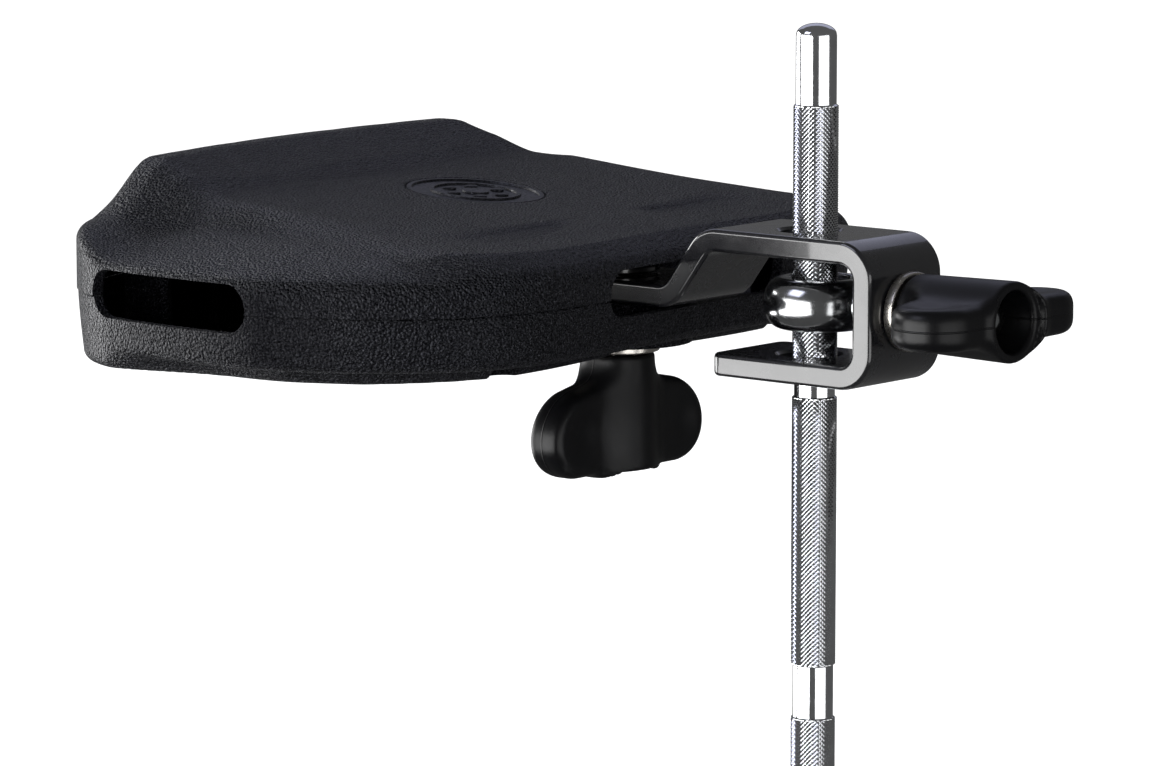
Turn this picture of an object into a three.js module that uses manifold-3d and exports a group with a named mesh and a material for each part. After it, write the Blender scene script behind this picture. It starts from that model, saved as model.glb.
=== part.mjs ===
// Percussion block on a steel clamp that slides along a knurled rod.
// Millimetres, +Z up. The origin is the centre of the rod's lower end face. +X points from the
// rod towards the clamp's side wing nut, and the block lies on the -X side of the rod.

import * as THREE from 'three';
import { mergeVertices } from 'three/addons/utils/BufferGeometryUtils.js';
import Module from 'manifold-3d';

const wasm = await Module();
wasm.setup();

// ---------------------------------------------------------------- driving dimensions

const GAP = 0.3;                 // clearance between pieces that touch

// rod: knurled bands between plain turned necks
const ROD_LENGTH = 254;
const ROD_RADIUS = 4.75;
const ROD_NECK_RADIUS = 4.25;
const ROD_PLAIN_END = 16.7;
const ROD_BAND = 56.7;
const ROD_NECK = 10.8;
const ROD_DOME = 2.4;
const ROD_CHAMFER = 0.8;

// clamp bracket: one bent steel strap, measured from the underside of its lower arm
const CLAMP_Z = 180.5;
const STRAP_WIDTH = 24.5;
const STRAP_THICKNESS = 4.8;
const STRAP_BEND = 5.7;          // bend radius of the strap's centre line
const STRAP_HEIGHT = 30.6;
const STRAP_WALL_X = 21.1;       // centre line of the upright wall
const STRAP_TIP_X = -18.3;
const STRAP_TIP_ROUND = 3;       // corner radius of the strap's ends, seen from above
const STRAP_KNEE_X = -19.8;      // where the upper arm turns down to the block
const TONGUE_BEND_X = -29.3;
const TONGUE_Z = 14.3;           // centre line of the tongue, above the block's zero
const BLOCK_Z = 1.1;             // the block's zero above the clamp's
const ROD_HOLE_RADIUS = 6.5;
const ROD_HOLE_X = ROD_HOLE_RADIUS - ROD_RADIUS - GAP;

// eye bolt and its wing nut, on a line through the strap's upright wall
const EYE_Z = 15.8;
const EYE_HOLE_RADIUS = 6.5;
const EYE_RADIUS = 11.8;
const EYE_HEIGHT = 10.6;
const EYE_X = EYE_HOLE_RADIUS - ROD_RADIUS - GAP;
const EYE_END_X = 46;
const BOLT_RADIUS = 4;           // M8
const BOLT_HOLE_RADIUS = 4.5;

// wing nut: moulded hub with two ears, over a metal insert
const NUT_LENGTH = 24.9;
const NUT_RADIUS = 8.1;
const NUT_BORE_RADIUS = 6.35;
const INSERT_RADIUS = NUT_BORE_RADIUS - GAP;
const INSERT_LENGTH = 12;
const WING_SPAN = 50;
const WING_START = 5.4;
const WING_END = 25.4;
const WING_CORNER = 8.9;
const WING_THICKNESS = 9;
const WASHER_THICKNESS = 2.2;
const EYE_WASHER_RADIUS = 8.2;

// block: a hollow two-part shell, measured from its pivot
const PIVOT_X = -53;
const SWIVEL = THREE.MathUtils.degToRad(3.5);
const SEAM_Z = 15;
const WALL = 3;
const RIM_Z = 22;
const RIM_ROUND = 2.5;
const FOOT_Z = 3.6;
const BACK_FOOT_Z = 1;           // the foot is lower along the back
const BELLY_Z = 0;
const BELLY_INSET = 6;           // from the sides to where the belly starts
const BELLY_FRONT = 6;
const BELLY_SLOPE = 6;
const PAD_Z = 2.4;               // flat seat for the pivot's washer
const PAD_RADIUS = 12;
const PLATFORM_Z = 28;           // height of the sloping platform above the pivot
const PLATFORM_SLOPE = -0.09;
const RIDGE_Z = 40;
const RIDGE_X = -89;
const RIDGE_LENGTH = 53;         // half length of the full-height ridge
const SLOT_LOW = 11.05;
const SLOT_HIGH = 21.15;
const SIDE_SLOT = [-70.5, -25.5]; // where each side slot starts and ends, towards the clamp
const FRONT_SLOT = 31;           // half length of the clamp slot
const HUB = new THREE.Vector2(-38, 0);   // middle of the block's outline
const OUTLINE = [[21, 0], [21, 34], [19.6, 50], [16.6, 62.5], [10.8, 72], [3.6, 79], [-4.6, 85],
  [-14, 89.4], [-25, 93.1], [-46, 93.2], [-68, 89.2], [-79, 83], [-87, 73], [-93, 58], [-97, 32],
  [-98, 0]];
const SEGMENTS = 60;

// fastening inside the block
const PIVOT_BOSS_RADIUS = 16;
const PIVOT_WASHER_RADIUS = 9;
const PIVOT_HEAD_RADIUS = 9;
const PIVOT_HEAD_HEIGHT = 4;
const PIVOT_SQUARE = 8;
const PIVOT_END_Z = -19.5;
const SCREW_STATIONS = [7, 20, 24, 36, 40, 53];   // counted round the outline from the clamp's side
const SCREW_INSET = 16;
const SCREW_RADIUS = 1.75;
const SCREW_HEAD_RADIUS = 3.5;
const SCREW_HEAD_HEIGHT = 2.4;
const SCREW_SEAT_Z = 5;
const SCREW_TIP_Z = 21;
const SCREW_BOSS_RADIUS = 5;

// ---------------------------------------------------------------- materials

const chrome = new THREE.MeshStandardMaterial({ color: 0xd4d6da, roughness: 0.16, metalness: 1 });
const darkChrome = new THREE.MeshStandardMaterial({ color: 0xa9abb0, roughness: 0.1, metalness: 1 });
const steel = new THREE.MeshStandardMaterial({ color: 0xb9b6b0, roughness: 0.34, metalness: 1 });
const paint = new THREE.MeshStandardMaterial({ color: 0x0f1012, roughness: 0.28, metalness: 0 });
const shellPlastic = new THREE.MeshStandardMaterial({ color: 0x1b1c20, roughness: 0.62, metalness: 0 });
const nutPlastic = new THREE.MeshStandardMaterial({ color: 0x131416, roughness: 0.42, metalness: 0 });

// ---------------------------------------------------------------- helpers

// A closed three.js geometry as a solid that can be joined and cut.
function solid(geometry) {
  const plain = geometry.clone();
  plain.deleteAttribute('normal');
  plain.deleteAttribute('uv');
  const merged = mergeVertices(plain, 1e-4);
  const vertProperties = new Float32Array(merged.attributes.position.array);
  const triVerts = new Uint32Array(merged.index.array);
  return new wasm.Manifold(new wasm.Mesh({ numProp: 3, vertProperties, triVerts }));
}

function toGeometry(manifold) {
  const { vertProperties, triVerts } = manifold.getMesh();
  const geometry = new THREE.BufferGeometry();
  geometry.setAttribute('position', new THREE.BufferAttribute(vertProperties, 3));
  geometry.setIndex(new THREE.BufferAttribute(triVerts, 1));
  geometry.computeVertexNormals();
  return geometry;
}

function named(name, shape, material) {
  const geometry = shape.isBufferGeometry ? shape : toGeometry(shape);
  const mesh = new THREE.Mesh(geometry, material);
  mesh.name = name;
  return mesh;
}

// A round bar along +Z from low to high.
function bar(radius, low, high, sides = 24) {
  const geometry = new THREE.CylinderGeometry(radius, radius, high - low, sides);
  return geometry.rotateX(Math.PI / 2).translate(0, 0, (low + high) / 2);
}

// A flat shape drawn in XY, raised from low to high.
function slab(shape, low, high) {
  const depth = high - low;
  const geometry = new THREE.ExtrudeGeometry(shape, { depth, bevelEnabled: false, curveSegments: 10 });
  return geometry.translate(0, 0, low);
}

// A body turned about Z from [radius, z] points that start and end on the axis.
function turned(points, sides = 24) {
  const profile = points.map(([radius, z]) => new THREE.Vector2(radius, z));
  return new THREE.LatheGeometry(profile, sides).rotateX(Math.PI / 2);
}

// A ring about Z between two radii.
function ring(inner, outer, low, high) {
  return turned([[inner, low], [outer, low], [outer, high], [inner, high], [inner, low]]);
}

function roundedRectangle(x0, x1, y0, y1, radius) {
  const shape = new THREE.Shape();
  shape.moveTo(x0 + radius, y0);
  shape.lineTo(x1 - radius, y0);
  shape.absarc(x1 - radius, y0 + radius, radius, -Math.PI / 2, 0);
  shape.lineTo(x1, y1 - radius);
  shape.absarc(x1 - radius, y1 - radius, radius, 0, Math.PI / 2);
  shape.lineTo(x0 + radius, y1);
  shape.absarc(x0 + radius, y1 - radius, radius, Math.PI / 2, Math.PI);
  shape.lineTo(x0, y0 + radius);
  shape.absarc(x0 + radius, y0 + radius, radius, Math.PI, Math.PI * 1.5);
  return shape;
}

function smooth(t) {
  return THREE.MathUtils.smoothstep(t, 0, 1);
}

// ---------------------------------------------------------------- rod

function rod() {
  const points = [[0, 0], [ROD_NECK_RADIUS - ROD_CHAMFER, 0], [ROD_NECK_RADIUS, ROD_CHAMFER]];
  const step = ROD_RADIUS - ROD_NECK_RADIUS;
  const band = (low, high) => points.push(
    [ROD_NECK_RADIUS, low], [ROD_RADIUS, low + step], [ROD_RADIUS, high - step], [ROD_NECK_RADIUS, high]);
  const firstNeck = CLAMP_Z - 3.8;         // top of the band that starts just under the clamp
  band(ROD_PLAIN_END, firstNeck - 2 * (ROD_BAND + ROD_NECK));
  band(firstNeck - 2 * ROD_BAND - ROD_NECK, firstNeck - ROD_BAND - ROD_NECK);
  band(firstNeck - ROD_BAND, firstNeck);
  band(firstNeck + ROD_NECK, ROD_LENGTH - ROD_PLAIN_END);
  for (let i = 0; i <= 5; i += 1) {
    const angle = (i / 5) * Math.PI / 2;
    const radius = i === 5 ? 0 : ROD_NECK_RADIUS * Math.cos(angle);
    points.push([radius, ROD_LENGTH - ROD_DOME + ROD_DOME * Math.sin(angle)]);
  }
  return named('rod', turned(points), chrome);
}

// ---------------------------------------------------------------- clamp bracket

// Side view of a strap that follows corners joined by bends.
function strapShape(corners, bend, thickness) {
  const path = [];
  corners.forEach(([x, z], i) => {
    if (i === 0 || i === corners.length - 1) {
      path.push(new THREE.Vector2(x, z));
      return;
    }
    const corner = new THREE.Vector2(x, z);
    const before = new THREE.Vector2(...corners[i - 1]).sub(corner).normalize();
    const after = new THREE.Vector2(...corners[i + 1]).sub(corner).normalize();
    const half = Math.acos(THREE.MathUtils.clamp(before.dot(after), -1, 1)) / 2;
    const inward = before.clone().add(after).normalize();
    const centre = corner.clone().addScaledVector(inward, bend / Math.sin(half));
    const start = corner.clone().addScaledVector(before, bend / Math.tan(half)).sub(centre);
    const sweep = (Math.PI - 2 * half) * Math.sign(after.x * before.y - after.y * before.x);
    for (let k = 0; k <= 6; k += 1) {
      path.push(start.clone().rotateAround(new THREE.Vector2(), (sweep * k) / 6).add(centre));
    }
  });
  const side = (sign) => path.map((point, i) => {
    const next = path[Math.min(i + 1, path.length - 1)];
    const ahead = next.clone().sub(path[Math.max(i - 1, 0)]).normalize();
    const offset = new THREE.Vector2(-ahead.y, ahead.x).multiplyScalar(sign * thickness / 2);
    return offset.add(point);
  });
  return new THREE.Shape([...side(1), ...side(-1).reverse()]);
}

function bracket() {
  const half = STRAP_THICKNESS / 2;
  const side = STRAP_WIDTH / 2;
  const tongueZ = BLOCK_Z + TONGUE_Z;
  const corners = [[STRAP_TIP_X, half], [STRAP_WALL_X, half], [STRAP_WALL_X, STRAP_HEIGHT - half],
    [STRAP_KNEE_X, STRAP_HEIGHT - half], [TONGUE_BEND_X, tongueZ], [PIVOT_X - side, tongueZ]];
  const strap = slab(strapShape(corners, STRAP_BEND, STRAP_THICKNESS), -side, side);
  const end = (x) => roundedRectangle(x, STRAP_WALL_X + 10, -side, side, STRAP_TIP_ROUND);
  const plan = slab(end(PIVOT_X - side), STRAP_THICKNESS + 1, STRAP_HEIGHT + 1);
  const armPlan = slab(end(STRAP_TIP_X), -1, STRAP_THICKNESS + 1);
  const rodHole = bar(ROD_HOLE_RADIUS, -1, STRAP_HEIGHT + 1).translate(-ROD_HOLE_X, 0, 0);
  const eyeHole = bar(BOLT_HOLE_RADIUS, 10, 30).rotateY(Math.PI / 2).translate(0, 0, EYE_Z);
  const square = PIVOT_SQUARE + 2 * GAP;
  const pivotHole = new THREE.BoxGeometry(square, square, 16).translate(PIVOT_X, 0, tongueZ);
  const body = solid(strap.rotateX(Math.PI / 2))
    .intersect(solid(plan).add(solid(armPlan)))
    .subtract(solid(rodHole))
    .subtract(solid(eyeHole))
    .subtract(solid(pivotHole));
  return named('bracket', body, paint);
}

// ---------------------------------------------------------------- eye bolt and wing nuts

function eyeBolt() {
  const half = EYE_HEIGHT / 2;
  const side = [];
  for (let i = 0; i <= 8; i += 1) {
    const angle = -Math.PI / 2 + (Math.PI * i) / 8;
    side.push([EYE_RADIUS - 3.2 + 3.2 * Math.cos(angle), half * Math.sin(angle)]);
  }
  const eye = turned([[EYE_HOLE_RADIUS, -half], ...side, [EYE_HOLE_RADIUS, half], [EYE_HOLE_RADIUS, -half]]);
  const shankStart = EYE_HOLE_RADIUS + 2;
  const shank = bar(BOLT_RADIUS, shankStart, EYE_END_X - EYE_X).rotateY(Math.PI / 2);
  const mesh = named('eye_bolt', solid(eye).add(solid(shank)), darkChrome);
  mesh.position.set(EYE_X, 0, EYE_Z);
  return mesh;
}

// Moulded wing nut: seat at z = 0, open end at z = NUT_LENGTH, ears along Y.
function wingNut(name) {
  const ears = roundedRectangle(WING_START, WING_END, -WING_SPAN / 2, WING_SPAN / 2, WING_CORNER);
  const flat = slab(ears, -WING_THICKNESS / 2, WING_THICKNESS / 2).rotateY(-Math.PI / 2);
  const clear = bar(NUT_BORE_RADIUS + 1, NUT_LENGTH, WING_END + 1);
  const body = solid(flat)
    .subtract(solid(clear))
    .add(solid(bar(NUT_RADIUS, 0, NUT_LENGTH)))
    .subtract(solid(bar(NUT_BORE_RADIUS, -1, NUT_LENGTH + 1)));
  return named(name, body, nutPlastic);
}

function nutInsert(name) {
  return named(name, ring(BOLT_RADIUS + GAP, INSERT_RADIUS, GAP, INSERT_LENGTH), steel);
}

function washer(name, radius) {
  return named(name, ring(BOLT_HOLE_RADIUS, radius, 0, WASHER_THICKNESS), steel);
}

function eyeFastening() {
  const group = new THREE.Group();
  const wallFace = STRAP_WALL_X + STRAP_THICKNESS / 2;
  const seat = washer('eye_washer', EYE_WASHER_RADIUS);
  const nut = new THREE.Group().add(wingNut('eye_wing_nut'), nutInsert('eye_nut_insert'));
  nut.position.z = WASHER_THICKNESS + GAP;
  group.add(seat, nut);
  group.position.set(wallFace + GAP, 0, EYE_Z);
  group.rotation.y = Math.PI / 2;
  return group;
}

// Bolt from above through the tongue and the block's floor, and the washer and nut below it.
function pivotFastening() {
  const group = new THREE.Group();
  const seatZ = TONGUE_Z + STRAP_THICKNESS / 2 + GAP;
  const head = [[0, seatZ], [PIVOT_HEAD_RADIUS, seatZ], [PIVOT_HEAD_RADIUS, seatZ + 1]];
  for (let i = 1; i <= 5; i += 1) {
    const angle = (i / 5) * Math.PI / 2;
    const radius = i === 5 ? 0 : PIVOT_HEAD_RADIUS * Math.cos(angle);
    head.push([radius, seatZ + 1 + (PIVOT_HEAD_HEIGHT - 1) * Math.sin(angle)]);
  }
  const neck = new THREE.BoxGeometry(PIVOT_SQUARE, PIVOT_SQUARE, STRAP_THICKNESS);
  const bolt = solid(turned(head))
    .add(solid(neck.translate(0, 0, TONGUE_Z + 0.5)))
    .add(solid(bar(BOLT_RADIUS, PIVOT_END_Z, seatZ + 1)));
  const washerLow = PAD_Z - GAP - WASHER_THICKNESS;
  const seat = washer('pivot_washer', PIVOT_WASHER_RADIUS);
  seat.position.z = washerLow;
  const nut = new THREE.Group().add(wingNut('pivot_wing_nut'), nutInsert('pivot_nut_insert'));
  nut.rotation.x = Math.PI;
  nut.position.z = washerLow - GAP;
  group.add(named('pivot_bolt', bolt, steel), seat, nut);
  group.position.set(PIVOT_X, 0, BLOCK_Z);
  return group;
}

// ---------------------------------------------------------------- block

// Points round the block's outline, all at the same angle about HUB on every loop.
const outline = (() => {
  const far = OUTLINE.slice(1, -1).map(([x, y]) => new THREE.Vector3(x, y, 0));
  const near = far.map((point) => new THREE.Vector3(point.x, -point.y, 0)).reverse();
  const ends = [OUTLINE[0], OUTLINE[OUTLINE.length - 1]].map(([x, y]) => new THREE.Vector3(x, y, 0));
  const curve = new THREE.CatmullRomCurve3([ends[0], ...far, ends[1], ...near], true, 'centripetal');
  return curve.getSpacedPoints(SEGMENTS).slice(0, SEGMENTS);
})();

// The outline moved inwards, with a height found for each point.
function loop(inset, shrink, height) {
  return outline.map((point) => {
    const x = point.x - HUB.x;
    const reach = Math.hypot(x, point.y);
    const scale = (1 - inset / reach) * shrink;
    const place = new THREE.Vector3(HUB.x + x * scale, point.y * scale, 0);
    place.z = height(place.x, place.y, reach * (1 - scale));
    return place;
  });
}

// Closes a stack of loops with a fan at both ends.
function loft(loops) {
  const vertices = [];
  const faces = [];
  const middle = (points) => points.reduce((sum, point) => sum.add(point), new THREE.Vector3())
    .divideScalar(points.length);
  loops.forEach((points) => points.forEach((point) => vertices.push(...point.toArray())));
  vertices.push(...middle(loops[0]).toArray(), ...middle(loops[loops.length - 1]).toArray());
  const firstPole = loops.length * SEGMENTS;
  for (let i = 0; i < SEGMENTS; i += 1) {
    const next = (i + 1) % SEGMENTS;
    faces.push(firstPole, i, next);
    for (let k = 0; k < loops.length - 1; k += 1) {
      const here = k * SEGMENTS;
      const there = here + SEGMENTS;
      faces.push(here + i, there + i, there + next, here + i, there + next, here + next);
    }
    const last = (loops.length - 1) * SEGMENTS;
    faces.push(firstPole + 1, last + next, last + i);
  }
  const geometry = new THREE.BufferGeometry();
  geometry.setAttribute('position', new THREE.Float32BufferAttribute(vertices, 3));
  geometry.setIndex(faces);
  return geometry;
}

function softMin(a, b, reach) {
  const h = Math.max(reach - Math.abs(a - b), 0) / reach;
  return Math.min(a, b) - (h * h * reach) / 4;
}

// Height of the top: a skirt round the rim, and inside one edge a sloping platform that rises
// to a ridge along the back. Past the edge the surface falls to the skirt.
function topHeight(x, y, inset) {
  const across = Math.abs(y);
  const rim = RIM_Z + 6 * smooth((-64 - x) / 20);
  const rise = 6.4 - 3.2 * smooth((-60 - x) / 20);
  const skirt = rim + rise * (1 - (1 - Math.min(inset / 30, 1)) ** 1.7);
  const platform = PLATFORM_Z + PLATFORM_SLOPE * x;
  const rolled = Math.min(platform, rim + 12 * (1 - Math.exp(-inset / 14)));
  const ridgeX = RIDGE_X + 5 * (across / RIDGE_LENGTH) ** 2;
  const front = Math.max(0, 1 - Math.max(0, x - ridgeX - 2) / 25) ** 2;
  const back = 1 - 0.9 * smooth((ridgeX - x - 2) / 8);
  const high = rolled + (RIDGE_Z - rolled) * (x > ridgeX ? front : back);
  const low = Math.min(skirt, platform);
  const edge = RIDGE_LENGTH + 7 * smooth((x + 84) / 30) + 7.5 * Math.max(0, (x + 50) / 56) ** 2;
  const width = 15 - 9 * smooth((x + 84) / 34);
  const fall = low + Math.max(high - low, 0) * Math.max(0, 1 - (across - edge) / width) ** 1.25;
  return softMin(high, fall, 3);
}

function roundedTop(x, y, inset) {
  const drop = RIM_ROUND - Math.min(inset, RIM_ROUND);
  return topHeight(x, y, inset) - RIM_ROUND + Math.sqrt(RIM_ROUND ** 2 - drop ** 2);
}

function slotCutters() {
  const height = SLOT_HIGH - SLOT_LOW;
  const stadium = (low, high) => roundedRectangle(low, high, SLOT_LOW, SLOT_HIGH, height / 2 - 0.01);
  const sides = [1, -1].map((side) => slab(stadium(...SIDE_SLOT), -12, 12).rotateX(Math.PI / 2)
    .translate(0, side * 88, 0));
  const front = slab(stadium(-FRONT_SLOT, FRONT_SLOT), 12, 30).rotateX(Math.PI / 2).rotateZ(Math.PI / 2);
  return [...sides, front].map(solid);
}

const cutAll = (body, cutters) => cutters.reduce((rest, cutter) => rest.subtract(cutter), body);
const joinAll = (body, extras) => extras.reduce((rest, extra) => rest.add(extra), body);
const screwPlaces = () => {
  const places = loop(SCREW_INSET, 1, topHeight);
  return SCREW_STATIONS.map((station) => places[station]);
};
const atScrews = (geometry) => screwPlaces().map(({ x, y }) => solid(geometry.clone().translate(x, y, 0)));

function upperShell() {
  const seam = SEAM_Z + GAP / 2;
  const flat = (z) => () => z;
  const roof = (x, y, inset) => topHeight(x, y, inset) - WALL;
  const loops = [
    ...[0.2, 0.45, 0.66, 0.82, 0.93].map((shrink) => loop(26, shrink, roundedTop)),
    ...[20, 14, 10, 6.5, RIM_ROUND, 0.8, 0].map((inset) => loop(inset, 1, roundedTop)),
    loop(0, 1, flat(seam)),
    loop(WALL, 1, flat(seam)),
    loop(WALL, 1, (x, y) => topHeight(x, y, WALL) - WALL - 0.5),
    ...[8, 13, 20].map((inset) => loop(inset, 1, roof)),
    ...[0.85, 0.5].map((shrink) => loop(26, shrink, roof)),
  ];
  const bosses = screwPlaces().map(({ x, y, z }) => solid(
    bar(SCREW_BOSS_RADIUS, seam, z - WALL * 0.8, 16).translate(x, y, 0)));
  const pilot = bar(SCREW_RADIUS + GAP, seam - 1, SCREW_TIP_Z + GAP, 12);
  const body = joinAll(cutAll(solid(loft(loops)), slotCutters()), bosses);
  return named('upper_shell', cutAll(body, atScrews(pilot)), shellPlastic);
}

// Height of the underside: a foot round the edge, and a belly inside it that reaches the back.
function underHeight(x, y, inset) {
  const back = smooth((-76 - x) / 10);
  const foot = FOOT_Z + (BACK_FOOT_Z - FOOT_Z) * back;
  const within = Math.min(inset - BELLY_INSET * (1 - back), BELLY_FRONT - x);
  return foot + (BELLY_Z - foot) * smooth(within / BELLY_SLOPE);
}

function lowerShell() {
  const seam = SEAM_Z - GAP / 2;
  const flat = (z) => () => z;
  const floor = (x, y, inset) => underHeight(x, y, inset) + WALL;
  const edge = (x, y) => underHeight(x, y, 0) + 1.5;
  const loops = [
    ...[0.35, 0.7].map((shrink) => loop(26, shrink, floor)),
    ...[24, 18, 12, 9, 6].map((inset) => loop(inset, 1, floor)),
    loop(WALL, 1, (x, y) => underHeight(x, y, 0) + WALL + 0.5),
    loop(WALL, 1, flat(seam)),
    loop(0, 1, flat(seam)),
    loop(0, 1, edge),
    loop(1.5, 1, (x, y) => underHeight(x, y, 0)),
    ...[6, 9, 12, 18, 24].map((inset) => loop(inset, 1, underHeight)),
    ...[0.7, 0.35].map((shrink) => loop(26, shrink, underHeight)),
  ];
  const lifted = (x, y, inset) => underHeight(x, y, inset) + WALL / 2;
  const inside = solid(loft([
    loop(WALL / 2, 1, flat(seam)),
    ...[WALL / 2, 6, 9, 12, 18, 24].map((inset) => loop(inset, 1, lifted)),
    ...[0.7, 0.35].map((shrink) => loop(26, shrink, lifted)),
  ]));
  const bossTop = TONGUE_Z - STRAP_THICKNESS / 2 - GAP;
  const pivotBoss = solid(bar(PIVOT_BOSS_RADIUS, BELLY_Z + WALL - 1, bossTop, 32));
  const screwBosses = atScrews(bar(SCREW_BOSS_RADIUS, -2, SEAM_Z + 1, 16))
    .map((boss) => boss.intersect(inside));
  const screwHole = bar(SCREW_RADIUS + GAP, -2, SEAM_Z + 1, 12);
  const screwHead = bar(SCREW_HEAD_RADIUS + 0.5, -2, SCREW_SEAT_Z, 16);
  const pad = solid(bar(PAD_RADIUS, -2, PAD_Z, 32));
  const pivotHole = solid(bar(BOLT_HOLE_RADIUS, -1, bossTop + 1));
  const holes = [...atScrews(screwHole), ...atScrews(screwHead), pad, pivotHole];
  const body = joinAll(cutAll(solid(loft(loops)), slotCutters()), [...screwBosses, pivotBoss]);
  return named('lower_shell', cutAll(body, holes), shellPlastic);
}

// Self-tapping screw seated in the lower shell from below.
function shellScrew({ x, y }, index) {
  const headHigh = SCREW_SEAT_Z - GAP;
  const head = bar(SCREW_HEAD_RADIUS, headHigh - SCREW_HEAD_HEIGHT, headHigh, 16);
  const body = solid(head).add(solid(bar(SCREW_RADIUS, headHigh - 1, SCREW_TIP_Z, 12)));
  const mesh = named(`shell_screw_${index + 1}`, body, steel);
  mesh.position.set(x, y, 0);
  return mesh;
}

function block() {
  const group = new THREE.Group();
  group.add(upperShell(), lowerShell(), ...screwPlaces().map(shellScrew));
  group.position.set(PIVOT_X, 0, BLOCK_Z);
  group.rotation.z = SWIVEL;
  return group;
}

// ---------------------------------------------------------------- assembly

const clamp = new THREE.Group();
clamp.add(bracket(), eyeBolt(), eyeFastening(), pivotFastening(), block());
clamp.position.z = CLAMP_Z;

const percussionBlock = new THREE.Group();
percussionBlock.add(rod(), clamp);

export default percussionBlock;
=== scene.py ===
"""Looks for the percussion block on its rod clamp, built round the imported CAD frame.

Lengths in the shape code are millimetres; every mesh is made in metres. Block shapes are drawn
from the pivot, clamp shapes from the rod's axis at the underside of the clamp's lower arm.
"""
import math

import bmesh
import bpy
import numpy as np
from mathutils import Matrix, Vector


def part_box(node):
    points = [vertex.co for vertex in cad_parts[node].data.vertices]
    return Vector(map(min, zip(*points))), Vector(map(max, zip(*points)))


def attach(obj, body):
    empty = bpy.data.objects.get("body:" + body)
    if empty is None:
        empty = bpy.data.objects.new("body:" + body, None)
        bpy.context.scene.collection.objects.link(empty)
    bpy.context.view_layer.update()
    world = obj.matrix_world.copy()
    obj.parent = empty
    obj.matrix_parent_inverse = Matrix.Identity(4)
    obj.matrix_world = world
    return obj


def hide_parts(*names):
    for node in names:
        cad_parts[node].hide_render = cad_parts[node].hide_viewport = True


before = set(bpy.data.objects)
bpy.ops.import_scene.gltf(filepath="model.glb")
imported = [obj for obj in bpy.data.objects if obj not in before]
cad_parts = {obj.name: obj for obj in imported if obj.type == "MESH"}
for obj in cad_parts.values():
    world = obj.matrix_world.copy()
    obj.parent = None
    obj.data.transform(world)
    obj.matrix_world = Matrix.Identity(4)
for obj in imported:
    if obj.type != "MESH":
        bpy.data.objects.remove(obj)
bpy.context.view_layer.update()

MM = 0.001
scene = bpy.context.scene
scene.view_settings.view_transform = "Standard"


def object_from(data, name):
    """A new object in the scene for a mesh, a camera or a light."""
    obj = bpy.data.objects.new(name, data)
    scene.collection.objects.link(obj)
    return obj



# ------------------------------------------------------------------ camera

CAMERA_PLACE = Vector((0.7610, -0.9807, 0.3602))
CAMERA_HEADING = math.radians(40.1)
CAMERA_PITCH = math.radians(-8.3)
CAMERA_WIDTH = math.radians(10.85)


def make_camera():
    """The camera, with a long lens, looking slightly down at the object."""
    data = bpy.data.cameras.new("camera")
    data.sensor_fit = "HORIZONTAL"
    data.angle = CAMERA_WIDTH
    data.clip_start, data.clip_end = 0.05, 60
    obj = object_from(data, "camera")
    turn = Matrix.Rotation(CAMERA_HEADING, 4, "Z") @ Matrix.Rotation(math.pi / 2 + CAMERA_PITCH, 4, "X")
    obj.matrix_world = Matrix.Translation(CAMERA_PLACE) @ turn
    scene.camera = obj


make_camera()

# ------------------------------------------------------------------ places, from the frame


def extent(node):
    """A CAD node's lowest and highest corners, in millimetres."""
    low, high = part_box(node)
    return np.array(low) / MM, np.array(high) / MM


def middle(node):
    """The middle of a CAD node's box, in millimetres."""
    low, high = extent(node)
    return (low + high) / 2


CLAMP_Z = extent("bracket")[0][2]
EYE_Z = middle("eye_washer")[2] - CLAMP_Z
PIVOT_X = middle("pivot_washer")[0]
BLOCK_Z = extent("lower_shell")[0][2] - CLAMP_Z
SWIVEL = math.radians(3.5)
CLEARANCE = 0.3
ROD_RADIUS = 4.75
ROD_HOLE_RADIUS = 6.5
ROD_HOLE_X = ROD_HOLE_RADIUS - ROD_RADIUS - CLEARANCE
BOLT_RADIUS = 4.0
BOLT_HOLE_RADIUS = 4.5
STANDING = Matrix.Rotation(math.pi / 2, 4, "X")


def moved(x=0.0, y=0.0, z=0.0, turn=0.0, axis="Z"):
    """Where a shape drawn at its own origin goes in the clamp, as a matrix in millimetres."""
    return Matrix.Translation((x, y, z + CLAMP_Z)) @ Matrix.Rotation(turn, 4, axis)


AT_CLAMP = moved()
AT_PIVOT = moved(x=PIVOT_X, z=BLOCK_Z)
AT_BLOCK = moved(x=PIVOT_X, z=BLOCK_Z, turn=SWIVEL)
AT_EYE = moved(x=ROD_HOLE_X, z=EYE_Z)
AT_EYE_WASHER = moved(x=extent("eye_washer")[0][0], z=EYE_Z, turn=math.pi / 2, axis="Y")
AT_EYE_NUT = moved(x=extent("eye_wing_nut")[0][0], z=EYE_Z, turn=math.pi / 2, axis="Y")
AT_PIVOT_WASHER = moved(x=PIVOT_X, z=extent("pivot_washer")[0][2] - CLAMP_Z)
AT_PIVOT_NUT = moved(x=PIVOT_X, z=extent("pivot_wing_nut")[1][2] - CLAMP_Z, turn=math.pi, axis="X")

# ------------------------------------------------------------------ mesh helpers

WELD_DISTANCE = 2e-6


def mesh_from(points, faces, place=Matrix.Identity(4)):
    """A mesh in metres from millimetre points put through a matrix."""
    matrix = np.array(place)
    points = np.asarray(points, float) @ matrix[:3, :3].T + matrix[:3, 3]
    mesh = bpy.data.meshes.new("shape")
    mesh.from_pydata((points * MM).tolist(), [], [list(map(int, face)) for face in faces])
    mesh.update()
    return mesh


def baked(obj):
    """A new mesh of an object with its modifiers applied."""
    bpy.context.view_layer.update()
    return bpy.data.meshes.new_from_object(obj.evaluated_get(bpy.context.evaluated_depsgraph_get()))


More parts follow.
